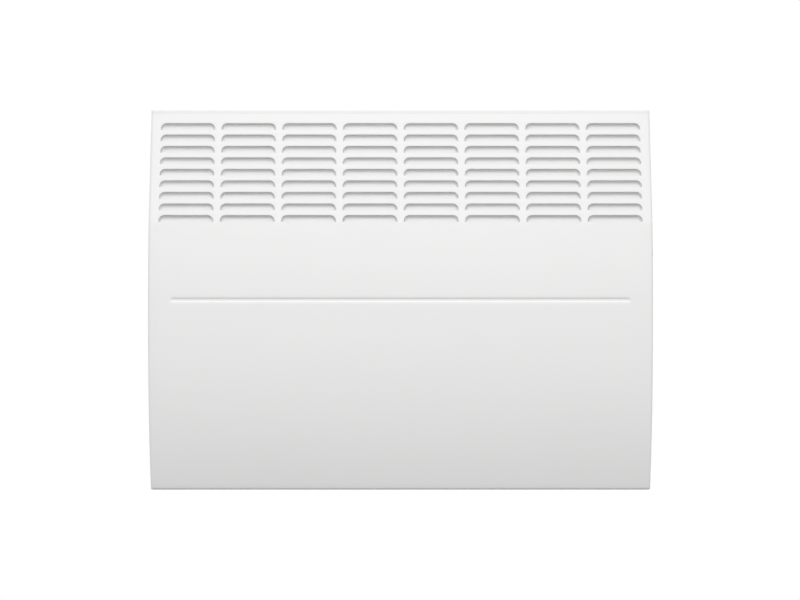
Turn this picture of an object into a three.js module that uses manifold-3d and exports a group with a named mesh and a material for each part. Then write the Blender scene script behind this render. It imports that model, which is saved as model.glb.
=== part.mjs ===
// Wall panel convector heater: a pressed sheet steel casing with a louvred air outlet, the finned
// element and its controls inside it, and the wall bracket that it hooks onto and tilts from.
//
// Millimetres, +Z up, +X to the right as seen from the room, and the wall is the plane y = 0.
// The origin is the middle of the bracket's wall face. The heater itself is modelled from its own
// corner of reference: x from its middle, y from the rear face of its back panel (the room is at
// negative y), and z from its foot.

import * as THREE from 'three';
import { mergeVertices } from 'three/addons/utils/BufferGeometryUtils.js';
import Module from 'manifold-3d';

const wasm = await Module();
wasm.setup();

// ---------------------------------------------------------------- driving dimensions

// Casing
const caseWidth = 592;
const caseHeight = 451;
const caseDepth = 80; // back panel to the widest line of the front
const sheet = 0.8;
const seatGap = 0.3; // between pieces that lie on each other
const edgeRadius = 3.5; // front to side
const footRadius = 3; // front to underside
const bellyHeight = 225; // the widest line of the front
const bendHeight = 316; // where the front leans back into the grille
const lipHeight = 446; // where the grille meets the upright lip
const footSetback = 24; // how far the front draws in, from the widest line, at the foot
const footCurve = 2.6; // how late that curve sets in
const bendSetback = 4.5;
const lipSetback = 29;
const rearFlange = 12;
const panelInset = 1; // back panel's edge, in from the casing's sides

// Louvres
const slotWidth = 64;
const slotHeight = 8;
const slotGap = 8; // between neighbours in a row
const slotPitch = 14; // from row to row, up the slope
const slotCorner = 6.5; // top corners
const slotSideMargin = 11; // least steel beside the end slots
const slotTopMargin = 11; // least steel above the top row
const slotBendMargin = 0.5; // between the bend and the bottom row
const hoodDepth = 5;
const hoodFlat = 3.6; // height of the hood's flat lower part
const hoodEnd = 2.6; // how far the hood's ends lean in
const shearGap = 0.3; // hood's free edge above the slot's lower edge

// Pressed line across the front
const beadMargin = 26; // from the casing's sides
const beadWidth = 6;
const beadDepth = 1;
const beadFloor = 1.6;

// Air inlet in the underside
const inletSide = 24; // steel left at each side
const inletFront = 12;
const inletRear = 9;
const grilleLap = 6; // inlet grille on the flange round the opening
const grilleEdge = 1; // its slots, in from that opening
const barPitch = 15;
const barWidth = 7.5;
const ventHeight = 34; // rear vents above the foot
const ventLength = 30;
const ventWidth = 5;
const ventPitch = 44;

// Wall bracket
const wallGap = 18; // wall to the back panel
const bracketSheet = 1.5;
const uprightSpacing = 340;
const uprightWidth = 32;
const uprightFoot = 62; // above the heater's foot
const uprightHead = 396;
const railWidth = 40;
const wallHoleLength = 14;
const wallHoleWidth = 7;
const wallHoleInset = 30; // from an upright's ends
const pivotHeight = 44; // the line on which the heater sits and tilts
const hookDepth = 14; // leg under the seat
const hookNotch = 3.8;
const hookNose = 3;
const hookRise = 8;
const slotClearance = 1.75; // beside the legs, in the back panel's slots
const tiltRoom = 6; // under the legs, in the same slots
const topLegHeight = 374;
const topLegRise = 9;
const topLegReach = 8;
const topLegRoom = 2.2; // round the top leg and its clip
const clipSheet = 0.6;
const clipHump = 1.1;
const clipCheek = 5; // clip's sides down the leg

// Heating element
const elementHeight = 104;
const elementSetback = 38; // element's axis in front of the back panel's rear face
const elementLength = 440;
const elementLeft = 248; // element's left end, left of the middle
const wingSpan = 25;
const wingSheet = 2.2;
const wingAngle = 32; // wings from the vertical
const wingTip = 7;
const coreRadius = 8;
const sheathRadius = 4;
const sheathReach = 17; // sheath beyond the element's ends
const pinRadius = 1.6;
const pinReach = 9;
const bushRadius = 7.5;
const bushLength = 7;
const bushNeck = 5.8;
const runningGap = 0.3;
const hangerSheet = 1;
const hangerHeight = 76;
const hangerFoot = 12;
const hangerGap = 5; // element's end to its hanger

// Heat shield, air deflector and cut-out
const shieldStandoff = 6;
const shieldFoot = 66;
const shieldHead = 268;
const shieldFlange = 9;
const shieldSheet = 0.6;
const shieldMargin = 8; // inside the hangers
const deflectorSheet = 0.6;
const deflectorRadius = 34;
const deflectorFoot = 14;
const deflectorMargin = 10; // at its ends, inside the casing
const cutoutRadius = 8;
const cutoutDepth = 9;
const cutoutEar = 12.5;
const cutoutTab = 4;
const cutoutX = 90;
const cutoutHeight = 226;

// Controls, on the right side
const fasciaHeight = 258; // middle of the opening
const fasciaLength = 112;
const fasciaDepth = 46;
const fasciaSetback = 40; // middle of the opening, in front of the back panel
const fasciaCorner = 7;
const fasciaWall = 2;
const fasciaLip = 5;
const recessDepth = 15;
const knobRise = 22; // knob above the middle of the opening
const knobRadius = 18;
const knobProud = 3; // past the casing's side
const knobFloorGap = 0.8;
const knobFlutes = 18;
const fluteDepth = 0.45;
const knobEdge = 1.6;
const pointerWidth = 3;
const pointerDepth = 0.8;
const shaftRadius = 3;
const shaftGrip = 9; // shaft inside the knob
const shaftFlat = 0.9;
const shaftSeat = 5; // shaft inside the thermostat
const thermostatSize = [17, 26, 34]; // along x, y and z
const rockerDrop = 36; // rocker below the middle of the opening
const rockerSize = [9, 17]; // along y and z
const rockerSlack = 1.1; // round the rocker, in its frame
const rockerFrameWall = 1.2;
const rockerFrameRim = 2.4;
const rockerFrameProud = 1.8;
const rockerBodyDepth = 14;
const rockerTilt = 9;
const rockerCrown = 2.5; // middle of the rocker over its axis
const rockerUnder = 3;
const lampRise = -11; // indicator, from the middle of the opening
const lampRadius = 3.2;
const lampProud = 1.2;
const lampTail = 9;

// Sensor, terminals, gland and leads
const tubeRadius = 0.9;
const bulbRadius = 3.2;
const bulbLength = 58;
const bulbHeight = 30;
const bulbSetback = 48;
const clipBulbWidth = 8;
const terminalSize = [34, 16, 17];
const terminalX = 247;
const terminalHeight = 64;
const glandHeight = 98;
const glandX = 262;
const glandRadius = 8;
const glandBore = 3.8;
const glandFlange = 2.4;
const leadRadius = 1.2;
const earthHeight = 92;
const partitionX = 214; // right of the middle
const partitionSheet = 0.8;
const partitionHead = 312;
const partitionLift = 1; // over the inlet grille
const portHeight = 292; // lead's port through the partition
const portSetback = 15;
const portRadius = 4;

// Fasteners
const screwRadius = 1.8;
const screwHead = 3.6;
const screwHeadHeight = 1.9;
const screwLength = 6;
const screwInset = 7; // from the casing's sides
const screwRows = 4;
const screwEnds = 26; // first and last row from the casing's ends

// Facets
const edgeSteps = 3;
const cornerSteps = 2;
const leadSteps = 16;
const footSteps = 3;
const bellySteps = 9;
const shoulderSteps = 4;
const deflectorSteps = 6;
const partitionSteps = 10;

// ---------------------------------------------------------------- finishes

const finish = (color, roughness, metalness = 0) =>
  new THREE.MeshStandardMaterial({ color, roughness, metalness });
const whiteEnamel = finish(0xf1f1f0, 0.38);
const galvanised = finish(0xb9bdc0, 0.45, 0.85);
const springSteel = finish(0x8d9196, 0.35, 0.9);
const aluminium = finish(0xc9ccce, 0.4, 0.9);
const stainless = finish(0xa8abae, 0.3, 0.95);
const ceramic = finish(0xe9e4d8, 0.55);
const whitePlastic = finish(0xeeeeec, 0.45);
const greyPlastic = finish(0xb7babc, 0.5);
const darkPlastic = finish(0x2b2d2f, 0.5);
const amberLens = finish(0xe5872b, 0.2);
const copper = finish(0xb87445, 0.35, 0.9);
const insulation = (color) => finish(color, 0.55);

// ---------------------------------------------------------------- shape helpers

const rad = THREE.MathUtils.degToRad;

function toSolid(geometry) {
  const bare = geometry.clone();
  bare.deleteAttribute('normal');
  bare.deleteAttribute('uv');
  const merged = mergeVertices(bare, 1e-4);
  const vertProperties = new Float32Array(merged.attributes.position.array);
  const corners = merged.index.array;
  const kept = [];
  for (let i = 0; i < corners.length; i += 3) {
    const [a, b, c] = corners.slice(i, i + 3);
    if (a !== b && b !== c && c !== a) kept.push(a, b, c);
  }
  const triVerts = new Uint32Array(kept);
  return new wasm.Manifold(new wasm.Mesh({ numProp: 3, vertProperties, triVerts }));
}

function toGeometry(solid) {
  const { vertProperties, triVerts, numProp } = solid.getMesh();
  const positions = new Float32Array((vertProperties.length / numProp) * 3);
  for (let i = 0; i * numProp < vertProperties.length; i++) {
    positions.set(vertProperties.subarray(i * numProp, i * numProp + 3), i * 3);
  }
  const geometry = new THREE.BufferGeometry();
  geometry.setAttribute('position', new THREE.BufferAttribute(positions, 3));
  geometry.setIndex(new THREE.BufferAttribute(new Uint32Array(triVerts), 1));
  geometry.computeVertexNormals();
  return geometry;
}

const join = (solids) => solids.reduce((whole, next) => whole.add(next));
const cut = (solid, tools) => tools.reduce((left, tool) => left.subtract(tool), solid);

function piece(name, solid, material) {
  const mesh = new THREE.Mesh(toGeometry(solid), material);
  mesh.name = name;
  return mesh;
}

// Outline points to a shape, and a shape with holes to a plate of the given thickness.
const outline = (points) => new THREE.Shape(points.map(([a, b]) => new THREE.Vector2(a, b)));

function plate(shape, depth, curveSegments = 4) {
  return new THREE.ExtrudeGeometry(shape, { depth, bevelEnabled: false, curveSegments });
}

// A plate drawn in (x, y), (x, z) or (y, z), standing between two coordinates of its third axis.
const alongZ = (shape, from, to, segments) =>
  toSolid(plate(shape, to - from, segments).translate(0, 0, from));
const alongY = (shape, from, to, segments) =>
  toSolid(plate(shape, to - from, segments).rotateX(Math.PI / 2).translate(0, to, 0));
const alongX = (shape, from, to, segments) =>
  toSolid(plate(shape, to - from, segments).applyMatrix4(xFromPlan).translate(from, 0, 0));
const xFromPlan = new THREE.Matrix4().set(0, 0, 1, 0, 1, 0, 0, 0, 0, 1, 0, 0, 0, 0, 0, 1);

const rectangle = (a0, a1, b0, b1) => outline([[a0, b0], [a1, b0], [a1, b1], [a0, b1]]);

function roundedRectangle(a0, a1, b0, b1, radius) {
  const shape = new THREE.Shape();
  shape.moveTo(a0 + radius, b0);
  shape.lineTo(a1 - radius, b0);
  shape.absarc(a1 - radius, b0 + radius, radius, -Math.PI / 2, 0);
  shape.lineTo(a1, b1 - radius);
  shape.absarc(a1 - radius, b1 - radius, radius, 0, Math.PI / 2);
  shape.lineTo(a0 + radius, b1);
  shape.absarc(a0 + radius, b1 - radius, radius, Math.PI / 2, Math.PI);
  shape.lineTo(a0, b0 + radius);
  shape.absarc(a0 + radius, b0 + radius, radius, Math.PI, 1.5 * Math.PI);
  return shape;
}

const block = (x0, x1, y0, y1, z0, z1) => alongZ(rectangle(x0, x1, y0, y1), z0, z1);

// A round bar along x, y or z between two coordinates, with its middle line through (a, b).
function bar(axis, radius, from, to, a, b, sides = 16) {
  const geometry = new THREE.CylinderGeometry(radius, radius, to - from, sides);
  const middle = (from + to) / 2;
  if (axis === 'x') geometry.rotateZ(-Math.PI / 2).translate(middle, a, b);
  if (axis === 'y') geometry.translate(a, middle, b);
  if (axis === 'z') geometry.rotateX(Math.PI / 2).translate(a, b, middle);
  return toSolid(geometry);
}

// Closed skin over convex rings that have the same number of points and turn the same way.
function loft(rings) {
  const count = rings[0].length;
  const index = [];
  for (let ring = 0; ring + 1 < rings.length; ring++) {
    for (let i = 0; i < count; i++) {
      const a = ring * count + i;
      const b = ring * count + ((i + 1) % count);
      index.push(a, b, b + count, a, b + count, a + count);
    }
  }
  const top = (rings.length - 1) * count;
  for (let i = 1; i + 1 < count; i++) {
    index.push(0, i + 1, i);
    index.push(top, top + i, top + i + 1);
  }
  const geometry = new THREE.BufferGeometry();
  geometry.setAttribute('position', new THREE.Float32BufferAttribute(rings.flat(2), 3));
  geometry.setIndex(index);
  return toSolid(geometry);
}

// Closed outline of a sheet folded along a line, lying to the line's left by its thickness.
function folded(line, thickness) {
  const points = line.map(([a, b]) => new THREE.Vector2(a, b));
  const normals = points.slice(1).map((point, i) => {
    const along = point.clone().sub(points[i]).normalize();
    return new THREE.Vector2(-along.y, along.x);
  });
  const offset = points.map((point, i) => {
    const before = normals[Math.max(0, i - 1)];
    const after = normals[Math.min(normals.length - 1, i)];
    const mitre = before.clone().add(after).multiplyScalar(thickness / (1 + before.dot(after)));
    return point.clone().add(mitre);
  });
  return new THREE.Shape([...points, ...offset.reverse()]);
}

// A round tube or lead of few sides along a smooth curve through its points.
function tube(points, radius, steps, sides = 6) {
  const path = new THREE.CatmullRomCurve3(points.map((p) => new THREE.Vector3(...p)), false, 'centripetal');
  const section = new THREE.Shape();
  for (let i = 0; i < sides; i++) {
    const angle = (2 * Math.PI * i) / sides;
    const [a, b] = [radius * Math.cos(angle), radius * Math.sin(angle)];
    if (i === 0) section.moveTo(a, b);
    else section.lineTo(a, b);
  }
  return toSolid(new THREE.ExtrudeGeometry(section, { steps, extrudePath: path, bevelEnabled: false }));
}

// ---------------------------------------------------------------- places that pieces share

const halfWidth = caseWidth / 2;
const panelFront = -sheet;
const caseRear = panelFront - seatGap;
const caseInside = caseRear - sheet; // front face of the casing's rear flange
const slope = Math.atan2(lipSetback - bendSetback, lipHeight - bendHeight);
const slopeLength = Math.hypot(lipSetback - bendSetback, lipHeight - bendHeight);
const legX = uprightSpacing / 2 + uprightWidth / 2 - bracketSheet / 2; // middle of the legs' sheet
const panelMiddle = -sheet / 2;
const elementY = -elementSetback;
const elementX0 = -elementLeft;
const elementX1 = elementX0 + elementLength;
const fasciaY = -fasciaSetback;
const sideInside = halfWidth - sheet; // inner face of the casing's right side
const fasciaOuter = sideInside - seatGap;
const recessFloor = halfWidth - recessDepth; // visible floor of the control recess
const knobZ = fasciaHeight + knobRise;
const rockerZ = fasciaHeight - rockerDrop;
const lampZ = fasciaHeight + lampRise;
const clipWidth = bracketSheet + 2 * (seatGap + clipSheet);
const hangerLeft = elementX0 - hangerGap - hangerSheet / 2;
const hangerRight = elementX1 + hangerGap + hangerSheet / 2;
const bulbX = partitionX + partitionSheet / 2 + seatGap + bulbRadius + runningGap + 1;
const bulbY = -bulbSetback;

// y of the casing's front face at a height above the foot.
function frontAt(height) {
  if (height <= bellyHeight) {
    return -caseDepth + footSetback * ((bellyHeight - height) / bellyHeight) ** footCurve;
  }
  if (height <= bendHeight) {
    return -caseDepth + bendSetback * ((height - bellyHeight) / (bendHeight - bellyHeight)) ** 2;
  }
  const rise = Math.min(1, (height - bendHeight) / (lipHeight - bendHeight));
  return -caseDepth + bendSetback + (lipSetback - bendSetback) * rise;
}

// y that a sheet inside the casing may reach at a height, clear of the pressed line and the hoods.
function insideAt(height) {
  const pressed = height > bendHeight - sheet ? hoodDepth + sheet : beadDepth;
  return frontAt(height) + sheet + pressed + seatGap;
}

// ---------------------------------------------------------------- front casing

// One level of the casing's skin, inset by a thickness, from its left rear corner to its right.
function caseRing(height, inset, rear) {
  const radius = edgeRadius - inset;
  const foot = footRadius - inset;
  const drop = Math.max(0, foot - (height - inset));
  const tuck = foot - Math.sqrt(foot * foot - drop * drop);
  const front = frontAt(height) + inset + tuck;
  const side = halfWidth - inset;
  const ring = [[side, rear, height], [-side, rear, height]];
  for (const [centre, start] of [[-side + radius, Math.PI], [side - radius, 1.5 * Math.PI]]) {
    for (let i = 0; i <= edgeSteps; i++) {
      const angle = start + (Math.PI / 2) * (i / edgeSteps);
      ring.push([centre + radius * Math.cos(angle), front + radius + radius * Math.sin(angle), height]);
    }
  }
  return ring;
}

function caseSkin(inset, rear) {
  const heights = [];
  for (let i = 0; i < footSteps; i++) {
    heights.push(inset + (footRadius - inset) * (1 - Math.cos((Math.PI / 2) * (i / footSteps))));
  }
  for (let i = 0; i <= bellySteps; i++) {
    heights.push(footRadius + (bellyHeight - beadWidth - footRadius) * (i / bellySteps));
  }
  for (let i = 0; i <= shoulderSteps; i++) {
    const from = bellyHeight + beadWidth;
    heights.push(from + (bendHeight - from) * (i / shoulderSteps));
  }
  heights.push(lipHeight, caseHeight - inset);
  return loft(heights.map((height) => caseRing(height, inset, rear)));
}

// D-shaped ring of a louvre in its row's own frame: u along the row, v up the slope, w outwards.
function louvreRing(halfSpan, low, high, radius, w) {
  const ring = [[-halfSpan, low, w], [halfSpan, low, w]];
  for (const [centre, start] of [[halfSpan - radius, 0], [-halfSpan + radius, Math.PI / 2]]) {
    for (let i = 0; i <= cornerSteps; i++) {
      const angle = start + (Math.PI / 2) * (i / cornerSteps);
      ring.push([centre + radius * Math.cos(angle), high - radius + radius * Math.sin(angle), w]);
    }
  }
  return ring;
}

// The hollow that the punch presses in, or with a thickness the steel round that hollow.
function louvreDish(thickness) {
  const low = thickness ? shearGap : 0;
  const span = slotWidth / 2 + thickness;
  const [floorHigh, high] = [hoodFlat + thickness, slotHeight + thickness];
  const floorRadius = hoodFlat * 0.8;
  const depth = hoodDepth + thickness;
  const floor = louvreRing(span - hoodEnd, low, floorHigh, floorRadius, -depth);
  const mouth = louvreRing(span, low, high, slotCorner, 0);
  const reach = thickness ? depth - sheet / 2 : depth + sheet; // the mouth carried on, or held in the steel
  const carry = (from, to) => from.map((value, axis) => value + ((to[axis] - value) * reach) / depth);
  return [floor, floor.map((point, i) => carry(point, mouth[i]))];
}

// Rings of the louvre frame carried to the slope, at a place along the row and up the slope.
function onSlope(rings, x, climb) {
  const origin = [x, frontAt(bendHeight), bendHeight];
  const up = [0, Math.sin(slope), Math.cos(slope)];
  const out = [0, -Math.cos(slope), Math.sin(slope)];
  return rings.map((ring) =>
    ring.map(([u, v, w]) => [
      origin[0] + u,
      origin[1] + (climb + v) * up[1] + w * out[1],
      origin[2] + (climb + v) * up[2] + w * out[2],
    ]),
  );
}

function louvrePlaces() {
  const pitch = slotWidth + slotGap;
  const columns = Math.floor((caseWidth - 2 * slotSideMargin + slotGap) / pitch);
  const freeLength = slopeLength - slotBendMargin - slotTopMargin;
  const rows = Math.floor((freeLength + slotPitch - slotHeight) / slotPitch);
  const places = [];
  for (let row = 0; row < rows; row++) {
    for (let column = 0; column < columns; column++) {
      places.push([(column - (columns - 1) / 2) * pitch, slotBendMargin + row * slotPitch]);
    }
  }
  return places;
}

// The pressed line: a shallow trough with sloping sides and ends, or the steel behind it.
function bead(thickness) {
  const half = halfWidth - beadMargin + thickness;
  const halfMouth = beadWidth / 2 + thickness;
  const halfFloor = beadFloor / 2 + thickness;
  const slant = halfMouth - halfFloor;
  const face = -caseDepth;
  const rectangleRing = (a, b, y) => [
    [-a, y, bellyHeight - b],
    [-a, y, bellyHeight + b],
    [a, y, bellyHeight + b],
    [a, y, bellyHeight - b],
  ];
  const front = thickness ? face + thickness / 2 : face - sheet;
  const rings = [rectangleRing(half, halfMouth, front)];
  if (!thickness) rings.push(rectangleRing(half, halfMouth, face));
  rings.push(rectangleRing(half - slant, halfFloor, face + beadDepth + thickness));
  return loft(rings);
}

function controlOpening(grow) {
  const [depth, length] = [fasciaDepth / 2 + grow, fasciaLength / 2 + grow];
  return roundedRectangle(
    fasciaY - depth, fasciaY + depth, fasciaHeight - length, fasciaHeight + length, fasciaCorner + grow,
  );
}

function screwPlaces() {
  const places = [];
  const step = (caseHeight - 2 * screwEnds) / (screwRows - 1);
  for (const side of [-1, 1]) {
    for (let row = 0; row < screwRows; row++) {
      places.push([side * (halfWidth - screwInset), screwEnds + row * step]);
    }
  }
  return places;
}

function frontCasing() {
  const skin = caseSkin(0, caseRear).subtract(caseSkin(sheet, caseInside));
  const pressed = [bead(sheet)];
  const hollows = [bead(0)];
  for (const [x, climb] of louvrePlaces()) {
    pressed.push(loft(onSlope(louvreDish(sheet), x, climb)));
    hollows.push(loft(onSlope(louvreDish(0), x, climb)));
  }
  const flange = sheet + rearFlange;
  const rearOpening = rectangle(-halfWidth + flange, halfWidth - flange, flange, caseHeight - flange);
  const inlet = rectangle(
    -halfWidth + inletSide, halfWidth - inletSide, frontAt(0) + footRadius + inletFront, -inletRear,
  );
  const screwHoles = screwPlaces().map(([x, z]) =>
    bar('y', screwRadius + runningGap, caseInside - sheet, 0, x, z, 8),
  );
  return cut(join([skin, ...pressed]), [
    ...hollows,
    alongY(rearOpening, caseInside - sheet, 0),
    alongZ(inlet, -sheet, 2 * sheet),
    alongX(controlOpening(0), sideInside - sheet, halfWidth + sheet, 4),
    ...screwHoles,
  ]);
}

// ---------------------------------------------------------------- back panel and inlet grille

// Slots through the back panel for the bracket's hooks and top legs.
function bracketSlots() {
  const half = bracketSheet / 2 + slotClearance;
  const clipHalf = clipWidth / 2 + slotClearance;
  const slots = [];
  for (const side of [-1, 1]) {
    const x = side * legX;
    slots.push([x - half, x + half, pivotHeight - hookDepth - tiltRoom, pivotHeight + seatGap]);
    slots.push([
      x - clipHalf, x + clipHalf,
      topLegHeight - topLegRoom, topLegHeight + topLegRise + clipSheet + clipHump + topLegRoom,
    ]);
  }
  return slots;
}

function backPanel() {
  const shape = rectangle(
    -halfWidth + panelInset, halfWidth - panelInset, panelInset, caseHeight - panelInset,
  );
  const slots = bracketSlots().map(([x0, x1, z0, z1]) => block(x0, x1, -2 * sheet, sheet, z0, z1));
  const vents = [];
  const ventSpan = 2 * legX - 2 * ventPitch;
  const ventCount = Math.floor(ventSpan / ventPitch);
  for (let i = 0; i < ventCount; i++) {
    const x = (i - (ventCount - 1) / 2) * ventPitch;
    const [z0, z1] = [ventHeight - ventWidth / 2, ventHeight + ventWidth / 2];
    vents.push(block(x - ventLength / 2, x + ventLength / 2, -2 * sheet, sheet, z0, z1));
  }
  const holes = screwPlaces().map(([x, z]) => bar('y', screwRadius + runningGap, -2 * sheet, sheet, x, z, 8));
  const glandHole = bar('y', glandRadius + runningGap, -2 * sheet, sheet, glandX, glandHeight, 16);
  return cut(alongY(shape, -sheet, 0), [...slots, ...vents, ...holes, glandHole]);
}

function inletGrille() {
  const [x1, y0, y1] = [
    halfWidth - inletSide + grilleLap,
    frontAt(0) + footRadius + inletFront - grilleLap,
    -inletRear + grilleLap,
  ];
  const low = sheet + seatGap;
  const slotCount = Math.floor((2 * x1 - 4 * grilleLap) / barPitch);
  const slots = [];
  for (let i = 0; i < slotCount; i++) {
    const x = (i - (slotCount - 1) / 2) * barPitch;
    const [front, rear] = [y0 + grilleLap + grilleEdge, y1 - grilleLap - grilleEdge];
    slots.push(block(x - barWidth / 2, x + barWidth / 2, front, rear, low - 1, low + 2 * sheet));
  }
  return cut(block(-x1, x1, y0, y1, low, low + sheet), slots);
}

function backScrew() {
  const profile = [
    [0, screwHeadHeight], [screwHead * 0.6, screwHeadHeight], [screwHead, screwHeadHeight * 0.45],
    [screwHead, seatGap], [screwRadius, seatGap], [screwRadius, -screwLength + 1], [0, -screwLength],
  ];
  const points = profile.reverse().map(([r, y]) => new THREE.Vector2(r, y));
  return toSolid(new THREE.LatheGeometry(points, 8));
}

// ---------------------------------------------------------------- wall bracket (own frame: wall face)

const fromFoot = (height) => height - caseHeight / 2;

function bracketPlate() {
  const inner = uprightSpacing / 2 - uprightWidth / 2;
  const outer = uprightSpacing / 2 + uprightWidth / 2;
  const [low, high, rail] = [fromFoot(uprightFoot), fromFoot(uprightHead), railWidth / 2];
  const shape = outline([
    [-outer, low], [-inner, low], [-inner, -rail], [inner, -rail], [inner, low], [outer, low],
    [outer, high], [inner, high], [inner, rail], [-inner, rail], [-inner, high], [-outer, high],
  ]);
  const holes = [];
  for (const x of [-uprightSpacing / 2, uprightSpacing / 2]) {
    for (const z of [low + wallHoleInset, high - wallHoleInset]) {
      const [halfX, halfZ] = [wallHoleWidth / 2, wallHoleLength / 2];
      const hole = roundedRectangle(x - halfX, x + halfX, z - halfZ, z + halfZ, halfX - 0.01);
      holes.push(alongY(hole, -2 * bracketSheet, bracketSheet, 3));
    }
  }
  return cut(alongY(shape, -bracketSheet, 0), holes);
}

// Side of an upright, in (y, z): the standing flange, the hook at its foot and the leg at its head.
function bracketLeg(x) {
  const face = -(wallGap - seatGap);
  const pivot = fromFoot(pivotHeight);
  const nose = face - hookNotch;
  const top = fromFoot(topLegHeight);
  const reach = -(wallGap + sheet + topLegReach);
  const shape = outline([
    [0, fromFoot(uprightFoot)],
    [face / 2, pivot - hookDepth],
    [nose - hookNose, pivot - hookDepth],
    [nose - hookNose, pivot + hookRise],
    [nose, pivot + hookRise],
    [nose, pivot],
    [face, pivot],
    [face, top],
    [reach, top],
    [reach, top + topLegRise - 3],
    [reach + 3, top + topLegRise],
    [0, top + topLegRise],
  ].reverse());
  return alongX(shape, x - bracketSheet / 2, x + bracketSheet / 2);
}

const wallBracket = () => join([bracketPlate(), bracketLeg(-legX), bracketLeg(legX)]);

// Spring clip over a top leg: two cheeks on the leg's sheet, and the hump that the panel snaps over.
function springClip(x) {
  const base = fromFoot(topLegHeight) + topLegRise + seatGap;
  const start = -bracketSheet - 4;
  const end = -(wallGap + sheet + topLegReach) + 3;
  const crest = -(wallGap + sheet + topLegReach / 2);
  const line = [[start, 0], [crest + 4, 0], [crest + 1, clipHump], [crest - 1, clipHump], [end, 0]];
  const strip = folded(line.map(([y, z]) => [y, base + z]), -clipSheet);
  const half = clipWidth / 2;
  const cheek = rectangle(-(wallGap - seatGap) + 1, start, base - clipCheek, base + clipSheet / 2);
  return join([
    alongX(strip, x - half, x + half),
    alongX(cheek, x - half, x - half + clipSheet),
    alongX(cheek, x + half - clipSheet, x + half),
  ]);
}

// ---------------------------------------------------------------- heating element and its mountings

// Extruded section of the element: a core with four wings that end in short cross flanges.
function elementSection() {
  const wings = [90 - wingAngle, 90 + wingAngle, 270 - wingAngle, 270 + wingAngle].map(rad);
  const half = wingSheet / 2;
  const root = Math.sqrt(coreRadius ** 2 - half ** 2);
  const profile = [
    [root, -half], [wingSpan - wingSheet, -half], [wingSpan - wingSheet, -wingTip / 2],
    [wingSpan, -wingTip / 2], [wingSpan, wingTip / 2], [wingSpan - wingSheet, wingTip / 2],
    [wingSpan - wingSheet, half], [root, half],
  ];
  const points = [];
  wings.forEach((angle, i) => {
    for (const [a, b] of profile) {
      points.push([a * Math.cos(angle) - b * Math.sin(angle), a * Math.sin(angle) + b * Math.cos(angle)]);
    }
    const next = wings[(i + 1) % wings.length] + (i + 1 === wings.length ? 2 * Math.PI : 0);
    for (const share of [0.35, 0.65]) {
      const turn = angle + (next - angle) * share;
      points.push([coreRadius * Math.cos(turn), coreRadius * Math.sin(turn)]);
    }
  });
  return outline(points.map(([a, b]) => [elementY + a, elementHeight + b]));
}

const heatingElement = () => cut(alongX(elementSection(), elementX0, elementX1), [
  bar('x', sheathRadius + runningGap, elementX0 - 1, elementX1 + 1, elementY, elementHeight),
]);

function elementSheath() {
  const [from, to] = [elementX0 - sheathReach, elementX1 + sheathReach];
  return join([
    bar('x', sheathRadius, from, to, elementY, elementHeight),
    bar('x', pinRadius, from - pinReach, to + pinReach, elementY, elementHeight, 8),
  ]);
}

// Ceramic bush round the sheath, grooved for the hanger's sheet.
function elementBush(x) {
  const bore = sheathRadius + runningGap;
  const [half, groove] = [bushLength / 2, hangerSheet / 2 + seatGap];
  const profile = [
    [bore, -half], [bushRadius, -half], [bushRadius, -groove], [bushNeck, -groove],
    [bushNeck, groove], [bushRadius, groove], [bushRadius, half], [bore, half], [bore, -half],
  ].map(([r, a]) => new THREE.Vector2(r, a));
  const ring = new THREE.LatheGeometry(profile, 12).rotateZ(-Math.PI / 2);
  return toSolid(ring.translate(x, elementY, elementHeight));
}

// Hanger that stands on the back panel and holds a bush in its open slot.
function elementHanger(x, side) {
  const rear = panelFront - seatGap;
  const front = elementY - bushRadius - 9;
  const [low, high] = [elementHeight - hangerHeight / 2, elementHeight + hangerHeight / 2];
  const slot = bushNeck + seatGap;
  const shape = outline([
    [rear, low], [rear, high], [front + 14, high], [front, elementHeight + 16],
    [front, elementHeight + slot], [elementY + slot, elementHeight + slot],
    [elementY + slot, elementHeight - slot], [front, elementHeight - slot],
    [front, elementHeight - 16], [front + 14, low],
  ]);
  const foot = side < 0 ? [x - hangerFoot, x] : [x, x + hangerFoot];
  return join([
    alongX(shape, x - hangerSheet / 2, x + hangerSheet / 2),
    block(...foot, rear - hangerSheet, rear, low, high),
  ]);
}

// ---------------------------------------------------------------- sheets inside the casing

function heatShield() {
  const rear = panelFront - seatGap;
  const web = rear - shieldStandoff;
  const line = [
    [rear, shieldFoot - shieldFlange], [rear, shieldFoot], [web, shieldFoot + shieldStandoff],
    [web, shieldHead - shieldStandoff], [rear, shieldHead], [rear, shieldHead + shieldFlange],
  ];
  const [from, to] = [hangerLeft + shieldMargin, hangerRight - shieldMargin];
  return alongX(folded(line, shieldSheet), from, to);
}

// Sheet under the top that turns the rising air forwards to the louvres.
function airDeflector() {
  const rear = panelFront - seatGap;
  const crown = caseHeight - sheet - seatGap;
  const foot = crown - deflectorRadius;
  const line = [[rear, foot - deflectorFoot]];
  for (let i = 0; i <= deflectorSteps; i++) {
    const angle = (Math.PI / 2) * (i / deflectorSteps);
    line.push([
      rear - deflectorRadius * (1 - Math.cos(angle)),
      foot + deflectorRadius * Math.sin(angle),
    ]);
  }
  const end = halfWidth - sheet - rearFlange - deflectorMargin;
  return alongX(folded(line, deflectorSheet), -end, end);
}

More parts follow.
